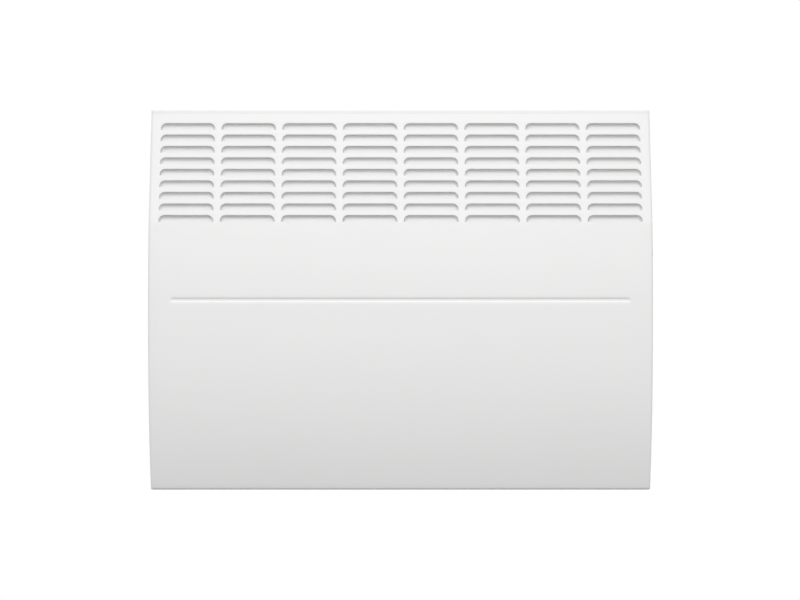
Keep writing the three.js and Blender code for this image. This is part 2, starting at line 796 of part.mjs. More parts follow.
// Partition between the warm side and the controls, cut to the inside of the front.
function partition() {
  const rear = panelFront - seatGap;
  const low = 2 * sheet + seatGap + partitionLift;
  const front = [];
  for (let i = 0; i <= partitionSteps; i++) {
    const height = low + (partitionHead - low) * (i / partitionSteps);
    front.push([insideAt(height), height]);
  }
  const flangeTop = sheet + rearFlange + seatGap;
  const notch = [[rear, flangeTop], [caseInside - seatGap, flangeTop], [caseInside - seatGap, low]];
  const shape = outline([...front, [rear, partitionHead], ...notch]);
  const [x0, x1] = [partitionX - partitionSheet / 2, partitionX + partitionSheet / 2];
  const bushHole = bar('x', sheathRadius + 2, x0 - 1, x1 + 1, elementY, elementHeight);
  const port = bar('x', portRadius, x0 - 1, x1 + 1, -portSetback, portHeight);
  const flange = block(x0, x1 + hangerFoot, rear - partitionSheet, rear, partitionHead - 60, partitionHead);
  return join([cut(alongX(shape, x0, x1), [bushHole, port]), flange]);
}

// Bimetal cut-out on the heat shield: a round case on a flat with two ears, and two tabs.
function overheatCutout() {
  const face = panelFront - seatGap - shieldStandoff - shieldSheet - seatGap;
  const plateShape = roundedRectangle(
    cutoutX - cutoutEar, cutoutX + cutoutEar, cutoutHeight - 4, cutoutHeight + 4, 3.9,
  );
  const back = face - cutoutDepth;
  return join([
    alongY(plateShape, face - 1, face, 3),
    bar('y', cutoutRadius, back, face - 0.5, cutoutX, cutoutHeight),
    ...[-1, 1].map((side) => block(
      cutoutX + side * cutoutTab - 0.4, cutoutX + side * cutoutTab + 0.4,
      back - 7, back + 0.5, cutoutHeight - 3, cutoutHeight + 3,
    )),
  ]);
}

// ---------------------------------------------------------------- controls

function controlFascia() {
  const floorRear = recessFloor - fasciaWall;
  const [frameY, frameZ] = rockerHousing(seatGap);
  return cut(join([
    alongX(controlOpening(fasciaLip), fasciaOuter - fasciaWall, fasciaOuter),
    alongX(controlOpening(fasciaWall), floorRear, fasciaOuter - fasciaWall / 2),
  ]), [
    alongX(controlOpening(0), recessFloor, fasciaOuter + 1),
    bar('x', shaftRadius + runningGap, floorRear - 1, recessFloor + 1, fasciaY, knobZ),
    bar('x', lampRadius + runningGap, floorRear - 1, recessFloor + 1, fasciaY, lampZ),
    block(floorRear - 1, recessFloor + 1, fasciaY - frameY, fasciaY + frameY, rockerZ - frameZ, rockerZ + frameZ),
  ]);
}

function thermostatBody() {
  const [depth, width, height] = thermostatSize;
  const front = recessFloor - fasciaWall - seatGap;
  const shape = roundedRectangle(
    fasciaY - width / 2, fasciaY + width / 2, knobZ - height / 2, knobZ + height / 2, 2.5,
  );
  const cup = bar('x', width * 0.36, front - depth - 5, front - depth + 1, fasciaY, knobZ);
  const bore = bar('x', shaftRadius + runningGap, front - shaftSeat - 1, front + 1, fasciaY, knobZ);
  return join([alongX(shape, front - depth, front, 2), cup]).subtract(bore);
}

// Bar with a flat along its upper side, round the x axis.
const flattedBar = (radius, from, to) => bar('x', radius, from, to, 0, 0).subtract(
  block(from - 1, to + 1, -2 * radius, 2 * radius, radius - shaftFlat, 2 * radius),
);

// Knob and shaft are drawn on the x axis, with x = 0 on the knob's rear face.
function thermostatShaft() {
  return flattedBar(shaftRadius, -knobFloorGap - fasciaWall - seatGap - shaftSeat, shaftGrip);
}

function thermostatKnob() {
  const depth = halfWidth + knobProud - recessFloor - knobFloorGap;
  const ring = (radius, flute, x) => {
    const count = 4 * knobFlutes;
    const points = [];
    for (let i = 0; i < count; i++) {
      const angle = (2 * Math.PI * i) / count;
      const r = radius - flute * (0.5 + 0.5 * Math.cos(knobFlutes * angle));
      points.push([x, r * Math.cos(angle), r * Math.sin(angle)]);
    }
    return points;
  };
  const body = loft([
    ring(knobRadius, fluteDepth, 0),
    ring(knobRadius, fluteDepth, depth - knobEdge),
    ring(knobRadius - knobEdge, 0, depth),
  ]);
  const bore = flattedBar(shaftRadius + runningGap, -1, shaftGrip + seatGap);
  const pointer = block(
    depth - pointerDepth, depth + 1, -pointerWidth / 2, pointerWidth / 2, knobRadius * 0.3, knobRadius * 2,
  );
  return cut(body, [bore, pointer]);
}

// Half sizes in y and z of the switch's housing behind its rim, grown by a clearance.
const rockerHousing = (grow) => rockerSize.map((size) => size / 2 + rockerSlack + rockerFrameWall + grow);

function rockerFrame() {
  const [hollowY, hollowZ] = rockerSize.map((size) => size / 2 + rockerSlack);
  const [bodyY, bodyZ] = rockerHousing(0);
  const [rimY, rimZ] = [hollowY + rockerFrameRim, hollowZ + rockerFrameRim];
  const seat = recessFloor + seatGap;
  const back = seat - rockerBodyDepth;
  const rim = roundedRectangle(fasciaY - rimY, fasciaY + rimY, rockerZ - rimZ, rockerZ + rimZ, 1.5);
  const tub = block(back, seat + 0.5, fasciaY - bodyY, fasciaY + bodyY, rockerZ - bodyZ, rockerZ + bodyZ);
  const hollow = block(
    back + rockerFrameWall, seat + rockerFrameProud + 1,
    fasciaY - hollowY, fasciaY + hollowY, rockerZ - hollowZ, rockerZ + hollowZ,
  );
  return cut(join([alongX(rim, seat, seat + rockerFrameProud, 2), tub]), [hollow]);
}

// Rocker drawn round its own axis, the y axis: a shallow V that points away from the room's side.
function rockerCap() {
  const [width, length] = rockerSize;
  const rise = Math.tan(rad(rockerTilt)) * (length / 2);
  const shape = outline([
    [-rockerUnder, -length / 2], [rockerCrown + rise, -length / 2], [rockerCrown, 0],
    [rockerCrown + rise, length / 2], [-rockerUnder, length / 2], [-rockerUnder - 1.5, 0],
  ]);
  return alongY(shape, -width / 2, width / 2);
}

function indicatorLens() {
  const seat = seatGap;
  const profile = [
    [0, -lampTail], [lampRadius, -lampTail], [lampRadius, seat], [lampRadius + 1.2, seat],
    [lampRadius + 1.2, seat + lampProud * 0.4], [lampRadius * 0.75, seat + lampProud * 0.9],
    [0, seat + lampProud],
  ].map(([r, a]) => new THREE.Vector2(r, a));
  const lens = new THREE.LatheGeometry(profile, 12).rotateZ(-Math.PI / 2);
  return toSolid(lens.translate(recessFloor, fasciaY, lampZ));
}

// ---------------------------------------------------------------- sensor, terminals, gland and leads

const sensorBulb = () => bar('z', bulbRadius, bulbHeight, bulbHeight + bulbLength, bulbX, bulbY, 12);

function bulbClip() {
  const [inner, outer] = [bulbRadius + runningGap, bulbRadius + runningGap + 1];
  const z = bulbHeight + bulbLength / 2;
  const [z0, z1] = [z - clipBulbWidth / 2, z + clipBulbWidth / 2];
  const wall = partitionX + partitionSheet / 2 + seatGap;
  return cut(join([
    bar('z', outer, z0, z1, bulbX, bulbY),
    block(wall, wall + 1, bulbY, bulbY + 16, z0, z1),
    block(wall, bulbX, bulbY + inner, bulbY + outer, z0, z1),
  ]), [bar('z', inner, z0 - 1, z1 + 1, bulbX, bulbY)]);
}

function capillaryTube() {
  const start = recessFloor - fasciaWall - seatGap - thermostatSize[0] - 5 - seatGap;
  const top = bulbHeight + bulbLength + seatGap;
  return tube([
    [start, fasciaY, knobZ], [start - 8, fasciaY, knobZ - 3], [start - 16, fasciaY - 4, knobZ - 30],
    [bulbX + 8, bulbY, 160], [bulbX, bulbY, top + 30], [bulbX, bulbY, top],
  ], tubeRadius, 22);
}

// Terminal block with a through bore for each conductor and a screw well over each bore.
function terminalBlock() {
  const [width, depth, height] = terminalSize;
  const rear = panelFront - seatGap;
  const wells = terminalPlaces().flatMap((x) => [
    bar('z', leadRadius + 0.8, terminalHeight - height, terminalHeight + height, x, rear - depth * 0.45, 8),
    bar('y', 2.6, rear - depth - 1, rear - depth * 0.6, x, terminalHeight, 8),
  ]);
  return cut(block(
    terminalX - width / 2, terminalX + width / 2, rear - depth, rear,
    terminalHeight - height / 2, terminalHeight + height / 2,
  ), wells);
}

const terminalPlaces = () => [-1, 0, 1].map((i) => terminalX + (i * terminalSize[0]) / 3);

function cableGland() {
  const [inside, outside] = [panelFront - seatGap, seatGap];
  const lip = glandRadius + 2.4;
  const profile = [
    [glandBore, inside - glandFlange - 5], [glandBore + 2.4, inside - glandFlange - 5],
    [glandRadius, inside - glandFlange], [lip, inside - glandFlange], [lip, inside],
    [glandRadius, inside], [glandRadius, outside], [lip, outside], [lip - 1, outside + glandFlange],
    [glandBore, outside + glandFlange], [glandBore, inside - glandFlange - 5],
  ].map(([r, a]) => new THREE.Vector2(r, a));
  return toSolid(new THREE.LatheGeometry(profile, 12).translate(glandX, 0, glandHeight));
}

// The leads, each as the points of its route between two terminals.
function leadRoutes() {
  const blockTop = terminalHeight + terminalSize[2] / 2 + seatGap;
  const blockY = panelFront - seatGap - terminalSize[1] * 0.45;
  const [earthX, neutralX, liveX] = terminalPlaces();
  const switchRear = recessFloor + seatGap - rockerBodyDepth - seatGap;
  const statRear = recessFloor - fasciaWall - seatGap - thermostatSize[0] - seatGap;
  const statSide = fasciaY + thermostatSize[1] / 2 - 3;
  const cutoutY = panelFront - 2 * seatGap - shieldStandoff - shieldSheet - cutoutDepth - 4;
  const pinRight = elementX1 + sheathReach + pinReach + seatGap;
  const pinLeft = elementX0 - sheathReach - pinReach - seatGap;
  return {
    live_lead: [
      [liveX, blockY, blockTop], [liveX, blockY, blockTop + 8], [liveX - 14, blockY - 16, 150],
      [switchRear - 14, fasciaY + 4, rockerZ - 12], [switchRear - 9, fasciaY, rockerZ - 4],
      [switchRear, fasciaY, rockerZ - 4],
    ],
    switched_lead: [
      [switchRear, fasciaY, rockerZ + 5], [switchRear - 8, fasciaY, rockerZ + 6],
      [statRear - 14, statSide, (rockerZ + knobZ) / 2], [statRear - 8, statSide, knobZ - 13],
      [statRear, statSide, knobZ - 13],
    ],
    cutout_lead: [
      [statRear, statSide, knobZ + 12], [statRear - 8, statSide, knobZ + 12],
      [partitionX + 16, -portSetback - 2, portHeight], [partitionX, -portSetback, portHeight],
      [partitionX - 16, -portSetback, portHeight - 2], [cutoutX + 60, cutoutY, cutoutHeight + 34],
      [cutoutX + 24, cutoutY, cutoutHeight], [cutoutX + cutoutTab + 0.4 + seatGap, cutoutY, cutoutHeight],
    ],
    element_lead: [
      [cutoutX - cutoutTab - 0.4 - seatGap, cutoutY, cutoutHeight],
      [cutoutX - 24, cutoutY, cutoutHeight], [cutoutX - 80, cutoutY, cutoutHeight - 4],
      [hangerLeft + 50, cutoutY, cutoutHeight - 12], [hangerLeft + 8, cutoutY - 4, elementHeight + 76],
      [pinLeft - 4, elementY + 10, elementHeight + 36], [pinLeft - 11, elementY + 2, elementHeight + 8],
      [pinLeft - 7, elementY, elementHeight], [pinLeft, elementY, elementHeight],
    ],
    neutral_lead: [
      [neutralX, blockY, blockTop], [neutralX, blockY, blockTop + 7],
      [neutralX - 4, elementY + 12, elementHeight - 6], [pinRight + 9, elementY, elementHeight],
      [pinRight, elementY, elementHeight],
    ],
    earth_lead: [
      [earthX, blockY, blockTop], [earthX, blockY, blockTop + 6],
      [earthX - 4, earthTop - 7, earthHeight - 6], [earthX - 4, earthTop - 6, earthHeight],
      [earthX - 4, earthTop, earthHeight],
    ],
  };
}

function earthStud() {
  const seat = panelFront - seatGap;
  return join([
    bar('y', 3.4, seat - 1.2, seat, earthStudX(), earthHeight, 6),
    bar('y', 1.6, earthTop + seatGap, seat - 1, earthStudX(), earthHeight, 8),
  ]);
}

const earthStudX = () => terminalPlaces()[0] - 4;
const earthTop = panelFront - seatGap - 7;

// ---------------------------------------------------------------- assembly

const leadColours = {
  live_lead: 0x6b3f22, switched_lead: 0x1d1d1f, cutout_lead: 0x1d1d1f, element_lead: 0xd8d2c4,
  neutral_lead: 0x2a5ea8, earth_lead: 0x6f9a2e,
};

function assemble() {
  const bracket = new THREE.Group();
  bracket.add(piece('wall_bracket', wallBracket(), galvanised));
  bracket.add(piece('clip_left', springClip(-legX), springSteel));
  bracket.add(piece('clip_right', springClip(legX), springSteel));

  const heater = new THREE.Group();
  heater.position.set(0, -wallGap, -caseHeight / 2);
  const parts = [
    ['front_casing', frontCasing(), whiteEnamel],
    ['back_panel', backPanel(), galvanised],
    ['inlet_grille', inletGrille(), whiteEnamel],
    ['heating_element', heatingElement(), aluminium],
    ['element_sheath', elementSheath(), stainless],
    ['element_bush_left', elementBush(hangerLeft), ceramic],
    ['element_bush_right', elementBush(hangerRight), ceramic],
    ['element_hanger_left', elementHanger(hangerLeft, -1), galvanised],
    ['element_hanger_right', elementHanger(hangerRight, 1), galvanised],
    ['heat_shield', heatShield(), galvanised],
    ['air_deflector', airDeflector(), galvanised],
    ['control_partition', partition(), galvanised],
    ['overheat_cutout', overheatCutout(), darkPlastic],
    ['control_fascia', controlFascia(), greyPlastic],
    ['thermostat_body', thermostatBody(), darkPlastic],
    ['capillary_tube', capillaryTube(), copper],
    ['sensor_bulb', sensorBulb(), copper],
    ['sensor_clip', bulbClip(), galvanised],
    ['rocker_frame', rockerFrame(), darkPlastic],
    ['indicator_lens', indicatorLens(), amberLens],
    ['terminal_block', terminalBlock(), ceramic],
    ['cable_gland', cableGland(), darkPlastic],
    ['earth_stud', earthStud(), stainless],
  ];
  for (const [name, solid, material] of parts) heater.add(piece(name, solid, material));
  for (const [name, route] of Object.entries(leadRoutes())) {
    heater.add(piece(name, tube(route, leadRadius, leadSteps), insulation(leadColours[name])));
  }
  screwPlaces().forEach(([x, z], i) => {
    const screw = piece(`back_screw_${i + 1}`, backScrew(), stainless);
    screw.position.set(x, 0, z);
    heater.add(screw);
  });

  const knob = new THREE.Group();
  knob.position.set(recessFloor + knobFloorGap, fasciaY, knobZ);
  knob.add(piece('thermostat_knob', thermostatKnob(), whitePlastic));
  knob.add(piece('thermostat_shaft', thermostatShaft(), stainless));
  heater.add(knob);

  const rocker = piece('rocker_cap', rockerCap(), darkPlastic);
  rocker.position.set(recessFloor + seatGap, fasciaY, rockerZ);
  rocker.rotation.y = rad(rockerTilt);
  heater.add(rocker);

  const whole = new THREE.Group();
  whole.add(bracket, heater);
  return whole;
}

export default assemble();
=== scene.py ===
"""Looks of the wall panel convector heater: pressed casing, controls, back and bracket.

Lengths here are millimetres in the heater's own frame, as in the CAD: x from the middle, y from
the rear face of the back panel (the room is negative) and z from the foot. to_world() turns them
into metres in the shared frame.
"""

import math

import bmesh
import bpy
import numpy as np
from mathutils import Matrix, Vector


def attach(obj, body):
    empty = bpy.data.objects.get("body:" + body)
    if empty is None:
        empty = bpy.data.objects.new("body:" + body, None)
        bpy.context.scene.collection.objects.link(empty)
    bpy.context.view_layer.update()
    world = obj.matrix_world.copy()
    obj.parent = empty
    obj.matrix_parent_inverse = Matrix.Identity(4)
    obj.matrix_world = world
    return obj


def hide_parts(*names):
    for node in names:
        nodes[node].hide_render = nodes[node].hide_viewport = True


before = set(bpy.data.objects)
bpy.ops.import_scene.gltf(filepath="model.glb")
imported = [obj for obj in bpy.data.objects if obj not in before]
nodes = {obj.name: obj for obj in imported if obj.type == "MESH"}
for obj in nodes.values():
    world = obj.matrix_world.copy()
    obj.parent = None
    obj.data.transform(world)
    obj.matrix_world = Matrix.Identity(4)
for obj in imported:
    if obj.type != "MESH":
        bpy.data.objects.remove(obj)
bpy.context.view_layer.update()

WALL_GAP = 18.0
HALF_HEIGHT = 225.5
MM = 0.001
SHARP_ANGLE = math.radians(30.0)  # edges that turn further than this stay sharp


def to_world(points):
    """Heater millimetres to metres in the shared frame."""
    moved = np.asarray(points, float) - np.array([0.0, WALL_GAP, HALF_HEIGHT])
    return moved * MM


# ------------------------------------------------------------------ camera, lights and floor

CAMERA_PLACE = (-0.0006, -2.098, -0.0006)
LENS, SENSOR = 76.9, 36.0  # millimetres
SKY_UNDER, SKY_OVER = 0.42, 0.56  # the sky brightens between these, where 0.5 is the horizon
FLOOR_LEVEL, FLOOR_RADIUS, FLOOR_SIDES = -0.75, 2.2, 64
FLOOR_FADE_START, FLOOR_FADE_END = 0.5, 2.0  # radii between which it fades into the backdrop
FLOOR_LIT, FLOOR_SEEN = 0.2, 0.8  # its grey to the light that falls on the heater, and to the eye


def aim(obj, place, target):
    obj.location = place
    turn = Vector(target) - Vector(place)
    obj.rotation_mode = "QUATERNION"
    obj.rotation_quaternion = turn.to_track_quat("-Z", "Y")


def link(obj):
    bpy.context.scene.collection.objects.link(obj)
    return obj


def add_node(tree, kind, values=None):
    """A new shader node, with the values of its own sockets."""
    node = tree.nodes.new(f"ShaderNode{kind}")
    for socket, value in (values or {}).items():
        node.inputs[socket].default_value = value
    return node


def grey(value):
    return (value, value, value, 1)


def make_camera():
    data = bpy.data.cameras.new("camera")
    data.lens, data.sensor_width = LENS, SENSOR
    data.clip_start, data.clip_end = 0.05, 50.0
    camera = link(bpy.data.objects.new("camera", data))
    aim(camera, CAMERA_PLACE, (CAMERA_PLACE[0], 0.0, CAMERA_PLACE[2]))
    bpy.context.scene.camera = camera


def area_light(name, place, target, size, power):
    data = bpy.data.lights.new(name, "AREA")
    data.shape = "RECTANGLE"
    data.size, data.size_y = size
    data.energy = power
    aim(link(bpy.data.objects.new(name, data)), place, target)


def background_ray(tree):
    """1 for the rays that see the backdrop itself: from the camera, a mirror or glass."""
    path = add_node(tree, "LightPath")
    total = path.outputs["Is Camera Ray"]
    for name in ("Is Glossy Ray", "Is Transmission Ray"):
        add = add_node(tree, "Math")
        add.operation = "ADD"
        add.use_clamp = True
        tree.links.new(total, add.inputs[0])
        tree.links.new(path.outputs[name], add.inputs[1])
        total = add.outputs[0]
    return total


def mix_shaders(tree, factor, first, second, output):
    """Ends a node tree in a mix of two shaders."""
    mix = add_node(tree, "MixShader")
    out = add_node(tree, output)
    for source, socket in ((factor, 0), (first.outputs[0], 1), (second.outputs[0], 2)):
        tree.links.new(source, mix.inputs[socket])
    tree.links.new(mix.outputs[0], out.inputs[0])


def make_world(below, above, zenith):
    """White to the eye; to the object a soft sky, dim under the horizon and brightest over it."""
    world = bpy.data.worlds.new("studio")
    world.use_nodes = True
    bpy.context.scene.world = world
    tree = world.node_tree
    tree.nodes.clear()
    coords = add_node(tree, "TexCoord")
    split = add_node(tree, "SeparateXYZ")
    tree.links.new(coords.outputs["Generated"], split.inputs[0])
    height = add_node(tree, "MapRange", {"From Min": -1.0})
    tree.links.new(split.outputs["Z"], height.inputs["Value"])
    ramp = add_node(tree, "ValToRGB")
    stops = ramp.color_ramp.elements
    for stop, value in zip(stops, (below, zenith)):
        stop.color = grey(value)
    stops[0].position = SKY_UNDER
    stops.new(SKY_OVER).color = grey(above)
    tree.links.new(height.outputs[0], ramp.inputs[0])
    light = add_node(tree, "Background")
    tree.links.new(ramp.outputs[0], light.inputs["Color"])
    white = add_node(tree, "Background", {"Strength": 1.0, "Color": grey(1)})
    mix_shaders(tree, background_ray(tree), light, white, "OutputWorld")


def floor_material():
    """Pale to the eye, dim to the heater's underside, and clear where it meets the backdrop."""
    material = bpy.data.materials.new("floor_pale")
    material.use_nodes = True
    tree = material.node_tree
    tree.nodes.clear()
    coords = add_node(tree, "TexCoord")
    flat = add_node(tree, "VectorMath")
    flat.operation = "MULTIPLY"
    flat.inputs[1].default_value = (1, 1, 0)
    length = add_node(tree, "VectorMath")
    length.operation = "LENGTH"
    tree.links.new(coords.outputs["Object"], flat.inputs[0])
    tree.links.new(flat.outputs[0], length.inputs[0])
    fade = add_node(tree, "MapRange", {"From Min": FLOOR_FADE_START, "From Max": FLOOR_FADE_END})
    fade.interpolation_type = "SMOOTHSTEP"
    tree.links.new(length.outputs["Value"], fade.inputs["Value"])
    colour = tree.nodes.new("ShaderNodeMix")
    colour.data_type = "RGBA"
    colour.inputs["A"].default_value = grey(FLOOR_LIT)
    colour.inputs["B"].default_value = grey(FLOOR_SEEN)
    tree.links.new(background_ray(tree), colour.inputs["Factor"])
    pale = add_node(tree, "BsdfDiffuse")
    tree.links.new(colour.outputs["Result"], pale.inputs["Color"])
    clear = add_node(tree, "BsdfTransparent")
    mix_shaders(tree, fade.outputs[0], pale, clear, "OutputMaterial")
    return material


def make_floor():
    """A pale floor well under the heater, which hangs clear of it and fades into the backdrop."""
    mesh = bpy.data.meshes.new("floor")
    ring = [
        (FLOOR_RADIUS * math.cos(a), FLOOR_RADIUS * math.sin(a), FLOOR_LEVEL)
        for a in np.linspace(0, 2 * math.pi, FLOOR_SIDES, endpoint=False)
    ]
    mesh.from_pydata(ring, [], [list(range(FLOOR_SIDES))])
    mesh.materials.append(floor_material())
    link(bpy.data.objects.new("floor", mesh))


def make_stage():
    bpy.context.scene.view_settings.view_transform = "Standard"
    make_camera()
    make_world(below=0.2, above=1.0, zenith=0.85)
    middle = (0.0, -0.05, 0.0)
    area_light("key", (0.0, -1.4, 1.35), middle, (1.2, 0.6), 7.5)
    area_light("fill", (0.0, -2.3, 0.3), middle, (2.0, 1.2), 10.0)
    area_light("rear", (0.0, 1.9, 1.5), middle, (1.8, 1.0), 14.0)
    make_floor()


# ------------------------------------------------------------------ materials


class Nodes:
    """Short hand for building one material's node tree."""

    def __init__(self, name):
        self.material = bpy.data.materials.new(name)
        self.material.use_nodes = True
        self.tree = self.material.node_tree
        self.shader = self.tree.nodes["Principled BSDF"]
        self.coords = self.tree.nodes.new("ShaderNodeTexCoord").outputs["Object"]

    def set(self, **values):
        for key, value in values.items():
            name = key.replace("_", " ").title().replace("Ior", "IOR")
            self.shader.inputs[name].default_value = value
        return self

    def to(self, source, socket):
        self.tree.links.new(source, self.shader.inputs[socket])
        return self

    def noise(self, scale, detail=2.0, stretch=(1, 1, 1)):
        mapping = add_node(self.tree, "Mapping", {"Scale": stretch})
        self.tree.links.new(self.coords, mapping.inputs[0])
        node = add_node(self.tree, "TexNoise", {"Scale": scale, "Detail": detail})
        self.tree.links.new(mapping.outputs[0], node.inputs["Vector"])
        return node.outputs["Fac"]

    def cells(self, scale, output="Color"):
        node = add_node(self.tree, "TexVoronoi", {"Scale": scale})
        self.tree.links.new(self.coords, node.inputs["Vector"])
        return node.outputs[output]

    def span(self, source, low, high, from_min=0.0, from_max=1.0):
        ends = {"From Min": from_min, "From Max": from_max, "To Min": low, "To Max": high}
        node = add_node(self.tree, "MapRange", ends)
        self.tree.links.new(source, node.inputs["Value"])
        return node.outputs[0]

    def blend(self, source, low, high):
        node = self.tree.nodes.new("ShaderNodeMix")
        node.data_type = "RGBA"
        node.inputs["A"].default_value = (*low, 1)
        node.inputs["B"].default_value = (*high, 1)
        self.tree.links.new(source, node.inputs["Factor"])
        return node.outputs["Result"]

    def bump(self, source, strength, distance):
        node = add_node(self.tree, "Bump", {"Strength": strength, "Distance": distance})
        self.tree.links.new(source, node.inputs["Height"])
        return self.to(node.outputs[0], "Normal")


def powder_coat():
    """White powder coat: a fine even orange peel, and a tone that hardly varies."""
    m = Nodes("powder_coat_white").set(roughness=0.42, ior=1.48)
    m.to(m.blend(m.noise(9.0), (0.865, 0.865, 0.862), (0.885, 0.885, 0.882)), "Base Color")
    m.to(m.span(m.noise(60.0, 3.0), 0.38, 0.48), "Roughness")
    m.bump(m.noise(900.0, 3.0), 0.12, 0.0002)
    return m.material


def zinc_sheet():
    """Galvanised sheet: crystals of a few millimetres, each with its own tone and gloss."""
    m = Nodes("galvanised_sheet").set(metallic=0.85, roughness=0.42)
    crystal = m.cells(150.0)
    tone = m.span(crystal, 0.0, 1.0, 0.2, 0.8)
    m.to(m.blend(tone, (0.46, 0.48, 0.50), (0.66, 0.68, 0.70)), "Base Color")
    m.to(m.span(crystal, 0.34, 0.52), "Roughness")
    m.bump(m.noise(420.0, 4.0), 0.15, 0.0002)
    return m.material


def metal(name, low, high, roughness, grain, stretch):
    """Bare metal with the fine lines of rolling, drawing or extruding."""
    m = Nodes(name).set(metallic=0.92)
    lines = m.noise(grain, 3.0, stretch)
    m.to(m.blend(lines, low, high), "Base Color")
    m.to(m.span(lines, roughness - 0.08, roughness + 0.1), "Roughness")
    m.bump(lines, 0.2, 0.0001)
    return m.material


def moulded(name, low, high, roughness, grain=1400.0, depth=0.14):
    """Moulded plastic or fired ceramic with a fine spark-eroded grain."""
    m = Nodes(name).set(ior=1.47)
    m.to(m.blend(m.noise(25.0), low, high), "Base Color")
    m.to(m.span(m.noise(200.0, 3.0), roughness - 0.05, roughness + 0.06), "Roughness")
    m.bump(m.noise(grain, 3.0), depth, 0.00015)
    return m.material


def amber():
    m = Nodes("amber_lens").set(roughness=0.12, ior=1.5, coat_weight=0.6)
    m.to(m.blend(m.noise(300.0), (0.72, 0.20, 0.02), (0.95, 0.36, 0.04)), "Base Color")
    m.bump(m.cells(1600.0, "Distance"), 0.25, 0.0003)
    return m.material


def make_materials():
    lead = {
        "live_lead": ((0.10, 0.035, 0.015), (0.14, 0.055, 0.025)),
        "switched_lead": ((0.012, 0.012, 0.013), (0.022, 0.022, 0.024)),
        "cutout_lead": ((0.012, 0.012, 0.013), (0.022, 0.022, 0.024)),
        "element_lead": ((0.62, 0.58, 0.50), (0.70, 0.66, 0.58)),
        "neutral_lead": ((0.015, 0.08, 0.32), (0.03, 0.12, 0.42)),
        "earth_lead": ((0.10, 0.28, 0.02), (0.20, 0.38, 0.03)),
    }
    made = {
        "coat": powder_coat(),
        "zinc": zinc_sheet(),
        "spring": metal("spring_steel", (0.24, 0.25, 0.27), (0.36, 0.37, 0.39), 0.34, 300.0, (1, 1, 12)),
        "aluminium": metal(
            "extruded_aluminium", (0.62, 0.63, 0.64), (0.74, 0.75, 0.76), 0.38, 260.0, (0.05, 8, 8)
        ),
        "stainless": metal("bright_steel", (0.45, 0.46, 0.47), (0.58, 0.59, 0.60), 0.28, 500.0, (1, 1, 1)),
        "copper": metal("drawn_copper", (0.52, 0.22, 0.10), (0.66, 0.32, 0.16), 0.33, 400.0, (1, 1, 0.1)),
        "ceramic": moulded("steatite", (0.72, 0.68, 0.58), (0.80, 0.76, 0.68), 0.55, 900.0, 0.3),
        "white_plastic": moulded("plastic_white", (0.80, 0.80, 0.79), (0.84, 0.84, 0.83), 0.42),
        "grey_plastic": moulded("plastic_grey", (0.42, 0.43, 0.44), (0.46, 0.47, 0.48), 0.50),
        "dark_plastic": moulded("plastic_black", (0.014, 0.015, 0.016), (0.024, 0.025, 0.026), 0.46),
        "amber": amber(),
    }
    for name, (low, high) in lead.items():
        made[name] = moulded(f"{name}_sleeve", low, high, 0.5, 700.0, 0.1)
    return made


NODE_FINISH = {
    "wall_bracket": "zinc", "back_panel": "zinc", "element_hanger_left": "zinc",
    "element_hanger_right": "zinc", "heat_shield": "zinc", "air_deflector": "zinc",
    "control_partition": "zinc", "sensor_clip": "zinc", "clip_left": "spring",
    "clip_right": "spring", "inlet_grille": "coat", "front_casing": "coat",
    "heating_element": "aluminium", "element_sheath": "stainless", "earth_stud": "stainless",
    "thermostat_shaft": "stainless", "element_bush_left": "ceramic",
    "element_bush_right": "ceramic", "terminal_block": "ceramic", "overheat_cutout": "dark_plastic",
    "thermostat_body": "dark_plastic", "cable_gland": "dark_plastic", "rocker_frame": "dark_plastic",
    "rocker_cap": "dark_plastic", "control_fascia": "grey_plastic", "thermostat_knob": "white_plastic",
    "indicator_lens": "amber", "capillary_tube": "copper", "sensor_bulb": "copper",
}


def dress_nodes(finishes):
    for name, obj in nodes.items():
        key = NODE_FINISH.get(name)
        if name.startswith("back_screw"):
            key = "stainless"
        if name.endswith("_lead"):
            key = name
        for slot in obj.material_slots:
            slot.material = finishes[key]


# ------------------------------------------------------------------ mesh helpers


def shade(mesh):
    """Smooth, but for the edges that turn past the sharp angle."""
    mesh.polygons.foreach_set("use_smooth", [True] * len(mesh.polygons))
    mesh.set_sharp_from_angle(angle=SHARP_ANGLE)


def mesh_piece(name, points, faces, material):
    """A mesh object from heater millimetres."""
    mesh = bpy.data.meshes.new(name)
    mesh.from_pydata(to_world(points).tolist(), [], faces)
    mesh.validate()
    mesh.materials.append(material)
    shade(mesh)
    return link(bpy.data.objects.new(name, mesh))


def turn_outwards(mesh):
    """Makes all faces of an almost closed skin face out."""
    work = bmesh.new()
    work.from_mesh(mesh)
    bmesh.ops.recalc_face_normals(work, faces=work.faces)
    top = max(work.faces, key=lambda f: f.calc_center_median().z)
    if top.normal.z < 0:
        bmesh.ops.reverse_faces(work, faces=work.faces)
    work.to_mesh(mesh)
    work.free()


def thicken(obj, thickness):
    """Gives an open skin its sheet thickness, inwards, and keeps the result as its mesh."""
    solid = obj.modifiers.new("sheet", "SOLIDIFY")
    solid.thickness = thickness * MM
    solid.offset = -1.0
    solid.use_even_offset = True
    solid.thickness_clamp = 0.0
    shown = obj.evaluated_get(bpy.context.evaluated_depsgraph_get())
    made = bpy.data.meshes.new_from_object(shown)
    obj.modifiers.clear()
    obj.data = made
    shade(made)


